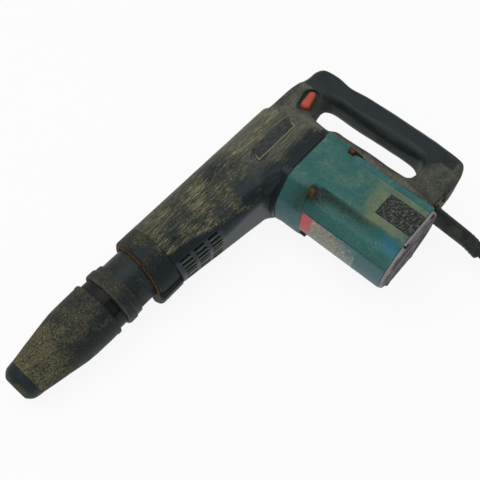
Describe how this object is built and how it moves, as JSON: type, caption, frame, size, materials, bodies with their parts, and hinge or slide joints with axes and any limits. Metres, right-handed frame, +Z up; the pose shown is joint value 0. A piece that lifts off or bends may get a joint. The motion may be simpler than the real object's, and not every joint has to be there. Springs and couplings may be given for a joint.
{
  "type": "demolition hammer",
  "caption": "Corded electric demolition hammer with a long barrel, tapered tool chuck, upright motor, D handle and coiled mains cord.",
  "frame": {"origin": "on the floor under the middle of the tool as it lies on its right side, cord left out", "axes": "+X back along the barrel towards the handle, +Y towards the tool's top, +Z up through its left side; the barrel dips 3.9 degrees towards the nose because the tool rests on sleeve and motor"},
  "size_m": [0.5963, 0.4681, 0.1011],
  "materials": {
    "nose_rubber": "moulded rubber, dusty",
    "sleeve_coat": "moulded plastic shell, dusty and scratched",
    "steel": "machined steel",
    "ring_coat": "moulded plastic, scuffed",
    "barrel_paint": "dark painted casting",
    "rusty_steel": "rusted steel",
    "cover_plastic": "moulded plastic, dusty and scratched",
    "plate_paint": "dark painted casting",
    "cast_aluminium": "die-cast aluminium",
    "badge_plate": "blank printed aluminium plate, worn",
    "motor_teal": "moulded plastic, stained with dust",
    "lamination": "stacked steel laminations",
    "copper": "enamelled copper wire and copper segments",
    "fan_plastic": "moulded plastic",
    "brush_brass": "stamped brass",
    "carbon": "pressed carbon",
    "brush_cover": "coarse textured plastic",
    "rear_cover": "worn grey plastic",
    "label": "blank worn film label",
    "handle_plastic": "moulded plastic, dusty",
    "grip_rubber": "smooth soft-touch moulding",
    "lever_red": "orange-red moulded plastic",
    "switch_plastic": "moulded plastic",
    "cord_rubber": "rubber cord and mouldings",
    "tie_plastic": "plastic strap"
  },
  "bodies": {
    "casing": {"barrel": "barrel_paint", "neck_ring": "rusty_steel", "front_collar": "cover_plastic", "impact_damper": "nose_rubber", "cylinder_liner": "steel", "piston": "cast_aluminium", "piston_pin": "steel", "connecting_rod": "steel", "crankshaft": "steel", "crank_bearing": "steel", "crank_housing": "cast_aluminium", "gear_plate": "plate_paint", "barrel_cover": "cover_plastic", "badge_plate": "badge_plate", "motor_housing": "motor_teal", "motor_bolts": "rusty_steel", "fan_baffle": "fan_plastic", "field_stator": "lamination", "field_windings": "copper", "armature_bearings": "steel", "brush_holders": "brush_brass", "carbon_brushes": "carbon", "brush_springs": "steel", "brush_caps": "switch_plastic", "brush_covers": "brush_cover", "rear_cover": "rear_cover", "rear_cover_screws": "steel", "rating_label": "label", "handle_frame": "handle_plastic", "handle_grip": "grip_rubber", "handle_screws": "steel", "switch_body": "switch_plastic", "cord_clamp": "rusty_steel", "clamp_screws": "rusty_steel", "cord_guard": "cord_rubber", "cord_lead": "cord_rubber", "cord_coil": "cord_rubber", "coil_tie": "tie_plastic", "cord_tail": "cord_rubber", "plug_body": "cord_rubber", "plug_blades": "brush_brass"},
    "holder": {"tool_holder": "steel", "nose_cap": "nose_rubber", "cap_ring": "steel", "lock_rollers": "steel", "spring_seat": "steel", "sleeve_spring": "steel"},
    "sleeve": {"release_sleeve": "sleeve_coat"},
    "ring": {"angle_ring": "ring_coat"},
    "hammer_bolt": {"impact_bolt": "steel"},
    "ram": {"striker": "steel", "striker_seal": "nose_rubber"},
    "armature": {"armature_shaft": "steel", "armature_core": "lamination", "armature_windings": "copper", "commutator": "copper", "fan": "fan_plastic"},
    "gear": {"crank_gear": "steel"},
    "lever": {"switch_lever": "lever_red"}
  },
  "joints": [
    {"name": "angle_turn", "type": "hinge", "parent": "casing", "child": "holder", "pos_m": [-0.13569, 0.082, 0.03374], "axis": [-0.9977, 0, -0.0673], "continuous": true},
    {"name": "sleeve_slide", "type": "slide", "parent": "holder", "child": "sleeve", "axis": [0.9977, 0, 0.0673], "range_m": [0, 0.006], "stiffness_N_per_m": 1500, "springref_m": -0.006, "deforming": ["sleeve_spring"]},
    {"name": "ring_slide", "type": "slide", "parent": "holder", "child": "ring", "axis": [-0.9977, 0, -0.0673], "range_m": [0, 0.0045], "stiffness_N_per_m": 1500, "springref_m": -0.004},
    {"name": "bolt_slide", "type": "slide", "parent": "holder", "child": "hammer_bolt", "axis": [-0.9977, 0, -0.0673], "range_m": [0, 0.01]},
    {"name": "ram_slide", "type": "slide", "parent": "casing", "child": "ram", "axis": [-0.9977, 0, -0.0673], "range_m": [0, 0.01]},
    {"name": "armature_spin", "type": "hinge", "parent": "casing", "child": "armature", "pos_m": [0.11374, -0.038, 0.05057], "axis": [0, 1, 0], "continuous": true},
    {"name": "gear_spin", "type": "hinge", "parent": "casing", "child": "gear", "pos_m": [0.08141, 0.043, 0.04839], "axis": [0, 1, 0], "continuous": true},
    {"name": "lever_slide", "type": "slide", "parent": "casing", "child": "lever", "axis": [0.0673, 0, -0.9977], "range_m": [0, 0.006]}
  ],
  "couplings": [
    {"joint": "gear_spin", "follows": "armature_spin", "ratio": -0.2}
  ]
}
